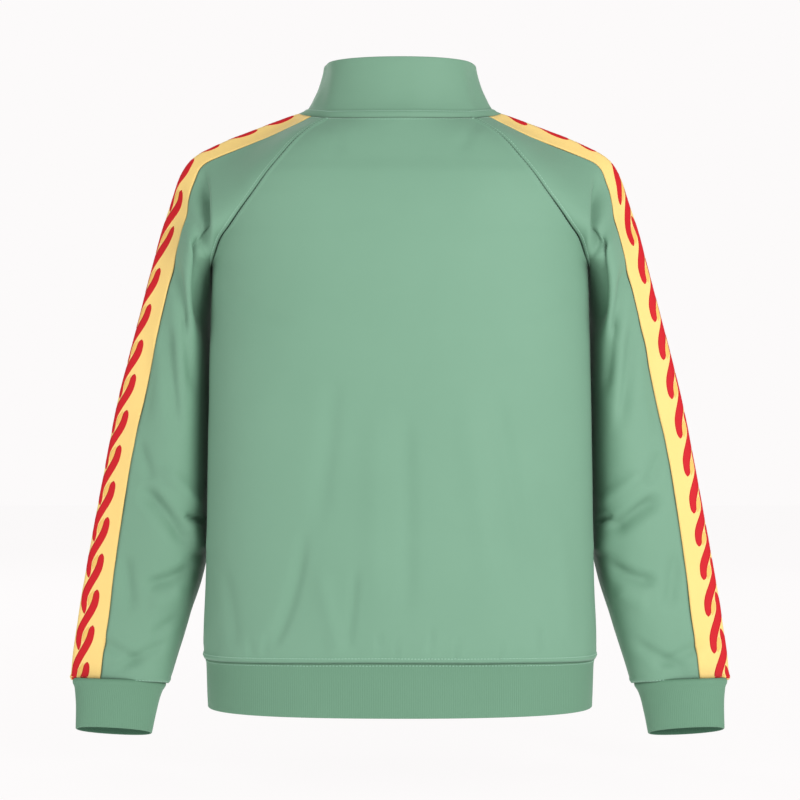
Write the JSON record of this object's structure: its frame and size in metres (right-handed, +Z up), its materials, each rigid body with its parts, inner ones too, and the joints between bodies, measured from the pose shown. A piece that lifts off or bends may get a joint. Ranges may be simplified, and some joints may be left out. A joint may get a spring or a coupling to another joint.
{
  "type": "track jacket",
  "caption": "Green zip-through track jacket with raglan sleeves, funnel collar, hem band and cuffs, and a yellow sleeve tape with a red rope twist, in its worn shape with no wearer.",
  "frame": {"origin": "the middle of the neck opening, at the height of the neck seam", "axes": "+X the wearer's right, +Y the wearer's front, +Z up along the body"},
  "size_m": [0.7414, 0.2278, 0.7608],
  "materials": {
    "green_tricot": "smooth knitted tricot with a soft sheen",
    "green_rib": "fine folded rib, slightly darker",
    "yellow_tape": "smooth knitted tape with a red rope twist",
    "zip_tape": "woven zip tape",
    "zip_teeth": "moulded teeth in the cloth's colour",
    "zip_metal": "plated metal"
  },
  "bodies": {
    "jacket": {"back": "green_tricot", "front_left": "green_tricot", "front_right": "green_tricot", "sleeve_back_left": "green_tricot", "sleeve_back_right": "green_tricot", "sleeve_front_left": "green_tricot", "sleeve_front_right": "green_tricot", "sleeve_tape_left": "yellow_tape", "sleeve_tape_right": "yellow_tape", "cuff_left": "green_rib", "cuff_right": "green_rib", "hem_band": "green_rib", "collar": "green_tricot", "zip_tape_left": "zip_tape", "zip_tape_right": "zip_tape", "zip_chain": "zip_teeth", "zip_box": "zip_metal", "zip_slider": "zip_metal"},
    "pull": {"zip_pull": "zip_metal"}
  },
  "joints": [
    {"name": "pull_hinge", "type": "hinge", "parent": "jacket", "child": "pull", "pos_m": [0, 0.07949, -0.0149], "axis": [1, 0, 0], "range_deg": [0, 170]}
  ]
}
